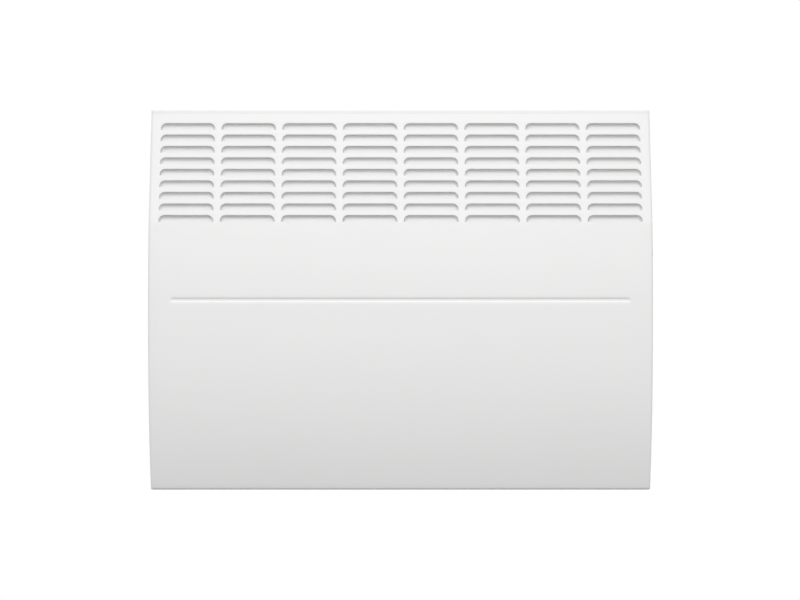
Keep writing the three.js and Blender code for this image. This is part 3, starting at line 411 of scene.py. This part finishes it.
class Skin:
    """Points and faces of one surface, with points that fall together kept once."""

    def __init__(self):
        self.points, self.faces, self.index = [], [], {}

    def add(self, point):
        key = tuple(round(c, 4) for c in point)
        if key not in self.index:
            self.index[key] = len(self.points)
            self.points.append(point)
        return self.index[key]

    def face(self, corners):
        ids = [self.add(p) for p in corners]
        kept = [a for i, a in enumerate(ids) if a != ids[i - 1]]
        if len(set(kept)) > 2:
            self.faces.append(kept)

    def strip(self, low, high):
        """Quads between two rows of points."""
        for a, b, c, d in zip(low, low[1:], high[1:], high):
            self.face([a, b, c, d])

    def ring(self, outer, inner):
        """A flat plate between two closed outlines, made as two faces that meet at their ends."""
        def nearest(loop, to):
            return min(range(len(loop)), key=lambda i: math.dist(loop[i], to))

        start = nearest(outer, inner[0])
        outer = outer[start:] + outer[:start]
        half = len(inner) // 2
        across = nearest(outer, inner[half])
        self.face(outer[: across + 1] + inner[half::-1])
        self.face(outer[across:] + outer[:1] + inner[:1] + inner[: half - 1 : -1])


# ------------------------------------------------------------------ front casing

HALF_WIDTH, CASE_HEIGHT, CASE_DEPTH, SHEET = 296.0, 451.0, 80.0, 0.8
EDGE_RADIUS, FOOT_RADIUS, FOLD_RADIUS = 3.5, 3.0, 1.4
BELLY, BEND, LIP = 225.0, 316.0, 446.0  # heights of the widest line, the bend and the lip
FOOT_SETBACK, FOOT_CURVE = 24.0, 2.6
BEND_SETBACK, BEND_CURVE, LIP_SETBACK = 4.5, 2.0, 29.0
CASE_REAR = -1.1
REAR_FLANGE = SHEET + 12.0
SLOPE = math.atan2(LIP_SETBACK - BEND_SETBACK, LIP - BEND)

# Louvres
CELL_WIDTH, CELL_HEIGHT, ROWS, COLUMNS, FIRST_SLOT = 72.0, 14.0, 9, 8, 0.5
SLOT_HALF, SLOT_HEIGHT, SLOT_CORNER = 32.0, 8.0, 6.5
HOOD_DEPTH, HOOD_FLAT, HOOD_END, SHEAR = 5.0, 3.6, 2.6, 0.3
HOOD_CORNER = 0.8 * HOOD_FLAT
RIM = 0.7  # radius of the pressed rim round a louvre
LAND = 3.0  # steel below a slot that belongs to its cell

# Pressed line
BEAD_HALF, BEAD_WIDTH, BEAD_DEPTH, BEAD_FLOOR = 270.0, 6.0, 1.0, 1.6
BEAD_END = 1.4  # its ends rise over this many times the width of its sides

# Openings: the controls' in y and z with its corner, the air inlet's in x and y
CONTROL = (-63.0, -17.0, 202.0, 314.0, 7.0)
INLET = (-272.0, 272.0, -41.0, -9.0, 1.5)
REAR_CORNER = 0.5

# Where the mesh has its lines
CORNER_STEPS, ARC_STEPS, FOLD_STEPS, RIM_STEPS, DISH_STEPS = 8, 6, 3, 3, 6
CONTROL_STEPS, INLET_STEPS, REAR_STEPS = 6, 2, 1
TOP_POINTS = 7  # along the straight top of a slot
PLAIN_COLUMNS = (30.0, 90.0, 150.0, 210.0)
BEAD_END_COLUMNS = (12.0, 6.0, 3.2, 2.4, 1.6, 0.8, 0.0, -3.0, -10.0)  # in from the line's end
BEAD_LEVELS = (0.6, 1.0, 1.4, 1.8, 2.2, 2.6, 3.0, 6.0)  # above and below its middle
FRONT_LEVELS, FRONT_FROM, FRONT_TO = 26, FOOT_RADIUS + 6, BELLY - 10
SHOULDER_LEVELS, SHOULDER_FROM, SHOULDER_TO = 9, BELLY + 13, BEND - 6
BEND_LEVEL = BEND - 1.5
LIP_LEVELS = (LIP - 4.0, LIP - 0.6, LIP, LIP + 0.6)


def front_at(height):
    if height <= BELLY:
        drop = (BELLY - height) / BELLY
        return -CASE_DEPTH + FOOT_SETBACK * drop**FOOT_CURVE
    if height <= BEND:
        return -CASE_DEPTH + BEND_SETBACK * ((height - BELLY) / (BEND - BELLY)) ** BEND_CURVE
    rise = min(1.0, (height - BEND) / (LIP - BEND))
    return -CASE_DEPTH + BEND_SETBACK + (LIP_SETBACK - BEND_SETBACK) * rise


def ease(value):
    value = min(1.0, max(0.0, value))
    return value * value * (3.0 - 2.0 * value)


def bead_depth(x, height):
    """How far the pressed line pushes the front in: a trough that rises again at its ends."""
    slant = (BEAD_WIDTH - BEAD_FLOOR) / 2
    across = ease((BEAD_WIDTH / 2 - abs(height - BELLY)) / slant)
    along = ease((BEAD_HALF - abs(x)) / (BEAD_END * slant))
    return BEAD_DEPTH * across * along


def cell_lines():
    """Lines across a louvre cell: u along the row and v up the slope, from its slot's lower edge."""
    flat = SLOT_HALF - SLOT_CORNER
    corner = np.linspace(-CELL_WIDTH / 2, -flat, CORNER_STEPS // 2 + 1)
    top = np.linspace(-flat, flat, TOP_POINTS)
    u = np.concatenate([corner, top[1:-1], -corner[::-1]])
    start = SLOT_HEIGHT - SLOT_CORNER
    side = np.linspace(start, CELL_HEIGHT - LAND, CORNER_STEPS // 2 + 1)
    v = np.concatenate([[-LAND, 0.0], side])
    return u, v


def d_outline(grow):
    """The slot's D outline from its lower left corner over the top to its lower right corner."""
    radius = SLOT_CORNER + grow
    half, high = SLOT_HALF + grow, SLOT_HEIGHT + grow
    points = [(-half, 0.0)]
    for i in range(CORNER_STEPS + 1):
        angle = math.pi - math.pi / 2 * i / CORNER_STEPS
        u = -half + radius + radius * math.cos(angle)
        points.append((u, high - radius + radius * math.sin(angle)))
    flat = SLOT_HALF - SLOT_CORNER
    points += [(u, high) for u in np.linspace(-flat, flat, TOP_POINTS)[1:-1]]
    right = [(-u, v) for u, v in points[: CORNER_STEPS + 2]]
    return points + right[::-1]


def on_slope(x, climb, u, v, w):
    up = climb + v
    return (
        x + u,
        front_at(BEND) + up * math.sin(SLOPE) - w * math.cos(SLOPE),
        BEND + up * math.cos(SLOPE) + w * math.sin(SLOPE),
    )


def hood_floor(mouth):
    """The point of the hollow's floor that each point of its mouth leads to."""
    half = SLOT_HALF - HOOD_END
    floor = []
    for i, (u, _, _) in enumerate(mouth):
        step = i - 1 if i <= CORNER_STEPS + 1 else len(mouth) - 2 - i
        if i in (0, len(mouth) - 1):
            floor.append((math.copysign(half, u), SHEAR))
        elif step <= CORNER_STEPS:
            angle = math.pi - math.pi / 2 * step / CORNER_STEPS
            a = -half + HOOD_CORNER + HOOD_CORNER * math.cos(angle)
            b = HOOD_FLAT - HOOD_CORNER + HOOD_CORNER * math.sin(angle)
            floor.append((math.copysign(a, u), b))
        else:
            floor.append((u, HOOD_FLAT))
    return floor


def louvre_rows():
    """Rows of (u, v, w) from the land round the slot, over its rim and down the hood."""
    rows = [[(u, v, 0.0) for u, v in d_outline(RIM)]]
    for i in range(1, RIM_STEPS + 1):
        angle = math.pi / 2 * i / RIM_STEPS
        grow, drop = RIM * (1 - math.sin(angle)), RIM * (1 - math.cos(angle))
        rows.append([(u, v, -drop) for u, v in d_outline(grow)])
    mouth = rows[-1]
    floor = hood_floor(mouth)
    for i in range(1, DISH_STEPS + 1):
        turn = math.pi / 2 * i / DISH_STEPS
        share, deep = 1 - math.cos(turn), math.sin(turn)
        rows.append([
            (u + (fu - u) * share, v + (fv - v) * share, -RIM - (HOOD_DEPTH - RIM) * deep)
            for (u, v, _), (fu, fv) in zip(mouth, floor)
        ])
    return rows


def add_louvre(skin, x, climb, low):
    """One louvre cell on the slope, from the land line low to the next cell's."""
    u_lines, v_lines = cell_lines()
    rows = louvre_rows()

    def place(row):
        return [on_slope(x, climb, *point) for point in row]

    left = [(-CELL_WIDTH / 2, v, 0.0) for v in v_lines[1:]]
    top = [(u, v_lines[-1], 0.0) for u in u_lines]
    right = [(CELL_WIDTH / 2, v, 0.0) for v in v_lines[1:]][::-1]
    placed = [place(left + top[1:-1] + right)] + [place(row) for row in rows]
    for outer, inner in zip(placed, placed[1:]):
        skin.strip(inner, outer)
    skin.face(placed[-1][::-1])
    edge = [(u, 0.0, 0.0) for u in u_lines]
    start, end = rows[0][0][0], rows[0][-1][0]
    between = [p for p in edge if start < p[0] < end]
    upper = [edge[0], (start, 0.0, 0.0)] + between + [(end, 0.0, 0.0), edge[-1]]
    lower = [(u, low, 0.0) for u in u_lines]
    skin.face(place(lower) + place(upper)[::-1])


def ring_at(height, front_tuck, side_tuck, columns):
    """One level of the casing: rear left, round the front, to rear right. Returns its parts."""
    face = front_at(height)

    def edge(sign):
        radius = EDGE_RADIUS - side_tuck
        points = []
        for i in range(ARC_STEPS + 1):
            angle = math.pi / 2 * i / ARC_STEPS
            x = HALF_WIDTH - EDGE_RADIUS + radius * math.sin(angle)
            inward = front_tuck + radius * (1 - math.cos(angle))
            points.append((sign * x, face + inward, height))
        return points

    def fold(sign):
        centre = HALF_WIDTH - side_tuck - FOLD_RADIUS
        points = []
        for i in range(FOLD_STEPS + 1):
            angle = math.pi / 2 * i / FOLD_STEPS
            y = CASE_REAR - FOLD_RADIUS + FOLD_RADIUS * math.cos(angle)
            points.append((sign * (centre + FOLD_RADIUS * math.sin(angle)), y, height))
        return points

    return {
        "rear_left": fold(-1),
        "left": edge(-1)[::-1],
        "front": [(x, face + front_tuck + bead_depth(x, height), height) for x in columns],
        "right": edge(1),
        "rear_right": fold(1)[::-1],
    }


def panel_columns():
    right = list(PLAIN_COLUMNS) + [BEAD_HALF - inset for inset in BEAD_END_COLUMNS]
    return [-x for x in reversed(right)] + right


def column_middles():
    return [(column - (COLUMNS - 1) / 2) * CELL_WIDTH for column in range(COLUMNS)]


def grille_columns():
    u_lines, _ = cell_lines()
    return sorted({round(x, 4) for middle in column_middles() for x in middle + u_lines})


def levels_below():
    """Heights and tucks from the foot to the lowest line of the grille."""
    made = []
    for i in range(ARC_STEPS + 1):
        angle = math.pi / 2 * i / ARC_STEPS
        height = FOOT_RADIUS * (1 - math.cos(angle))
        tuck = FOOT_RADIUS * (1 - math.sin(angle))
        drop = max(0.0, FOLD_RADIUS - height)
        side = FOLD_RADIUS - math.sqrt(max(0.0, FOLD_RADIUS**2 - drop**2))
        made.append((height, tuck, side))
    heights = list(np.linspace(FRONT_FROM, FRONT_TO, FRONT_LEVELS))
    heights += [BELLY - rise for rise in reversed(BEAD_LEVELS)] + [BELLY]
    heights += [BELLY + rise for rise in BEAD_LEVELS]
    heights += list(np.linspace(SHOULDER_FROM, SHOULDER_TO, SHOULDER_LEVELS)) + [BEND_LEVEL]
    return made + [(height, 0.0, 0.0) for height in heights]


def levels_above():
    """Heights and tucks from the top of the grille over the lip and the top fold."""
    made = [(height, 0.0, 0.0) for height in LIP_LEVELS]
    for i in range(FOLD_STEPS + 1):
        angle = math.pi / 2 * i / FOLD_STEPS
        height = CASE_HEIGHT - FOLD_RADIUS * (1 - math.sin(angle))
        tuck = FOLD_RADIUS * (1 - math.cos(angle))
        made.append((height, tuck, tuck))
    return made


def slope_height(climb):
    return BEND + climb * math.cos(SLOPE)


def rounded_loop(a0, a1, b0, b1, radius, steps):
    """Closed outline of a rounded rectangle in two coordinates, anticlockwise."""
    points = []
    corners = [
        (a1 - radius, b0 + radius, -90), (a1 - radius, b1 - radius, 0),
        (a0 + radius, b1 - radius, 90), (a0 + radius, b0 + radius, 180),
    ]
    for a, b, start in corners:
        for i in range(steps + 1):
            angle = math.radians(start + 90 * i / steps)
            points.append((a + radius * math.cos(angle), b + radius * math.sin(angle)))
    return points


PARTS = ("rear_left", "left", "front", "right", "rear_right")
FRONT_SEAMS = (("left", "front"), ("front", "right"))
REAR_SEAMS = (("rear_left", "left"), ("right", "rear_right"), ("rear_right", "rear_left"))


def wrap(skin, lower, upper, closed, open_front):
    """Faces between two levels: closed ones cross the sides and the rear, open ones lack the front."""
    for part in PARTS:
        if part == "front" and open_front:
            continue
        if len(lower[part]) == len(upper[part]):
            skin.strip(lower[part], upper[part])
        else:
            skin.face(lower[part] + upper[part][::-1])
    for a, b in FRONT_SEAMS + (REAR_SEAMS if closed else ()):
        skin.strip([lower[a][-1], lower[b][0]], [upper[a][-1], upper[b][0]])


def around(level):
    return [point for part in PARTS for point in level[part]]


def casing_levels():
    """All levels from the foot to the top, and the steps between them that the louvres fill."""
    panel, grille = panel_columns(), grille_columns()
    below = [ring_at(*level, panel) for level in levels_below()]
    above = [ring_at(*level, panel) for level in levels_above()]
    _, v_lines = cell_lines()
    climbs = [0.0]
    for row in range(ROWS):
        climbs += [FIRST_SLOT + row * CELL_HEIGHT + v for v in v_lines[1:]]
    middle = [ring_at(slope_height(climb), 0.0, 0.0, grille) for climb in climbs]
    return below + middle + above, range(len(below), len(below) + len(middle) - 1)


def add_side_plates(skin, levels):
    """The flat left side, the right side round the controls, and the rear flanges."""
    left = [level["left"][0] for level in levels]
    left_rear = [level["rear_left"][-1] for level in levels]
    skin.face(left_rear + left[::-1])
    right = [level["right"][-1] for level in levels]
    right_rear = [level["rear_right"][0] for level in levels]
    opening = [(HALF_WIDTH, y, z) for y, z in rounded_loop(*CONTROL, CONTROL_STEPS)]
    skin.ring(right + right_rear[::-1], opening)
    rear_a = [level["rear_right"][-1] for level in levels]
    rear_b = [level["rear_left"][0] for level in levels]
    across, up = HALF_WIDTH - REAR_FLANGE, CASE_HEIGHT - REAR_FLANGE
    rear = rounded_loop(-across, across, REAR_FLANGE, up, REAR_CORNER, REAR_STEPS)
    skin.ring(rear_a + rear_b[::-1], [(x, CASE_REAR, z) for x, z in rear])


def casing_skin():
    skin = Skin()
    levels, grille_steps = casing_levels()
    first_open = sum(height <= FOLD_RADIUS for height, _, _ in levels_below())
    last_open = len(levels) - 1 - FOLD_STEPS
    for i, (lower, upper) in enumerate(zip(levels, levels[1:])):
        wrap(skin, lower, upper, i < first_open or i >= last_open, i in grille_steps)
    for row in range(ROWS):
        climb = FIRST_SLOT + row * CELL_HEIGHT
        for x in column_middles():
            add_louvre(skin, x, climb, -FIRST_SLOT if row == 0 else -LAND)
    add_side_plates(skin, levels[first_open : last_open + 1])
    skin.face(around(levels[-1]))
    inlet = [(x, y, 0.0) for x, y in rounded_loop(*INLET, INLET_STEPS)]
    skin.ring(around(levels[0]), inlet)
    return skin


def make_casing(finish):
    skin = casing_skin()
    casing = mesh_piece("casing_shell", skin.points, skin.faces, finish)
    turn_outwards(casing.data)
    thicken(casing, SHEET)
    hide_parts("front_casing")
    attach(casing, "heater")


# ------------------------------------------------------------------ the whole scene

make_stage()
finishes = make_materials()
dress_nodes(finishes)
make_casing(finishes["coat"])
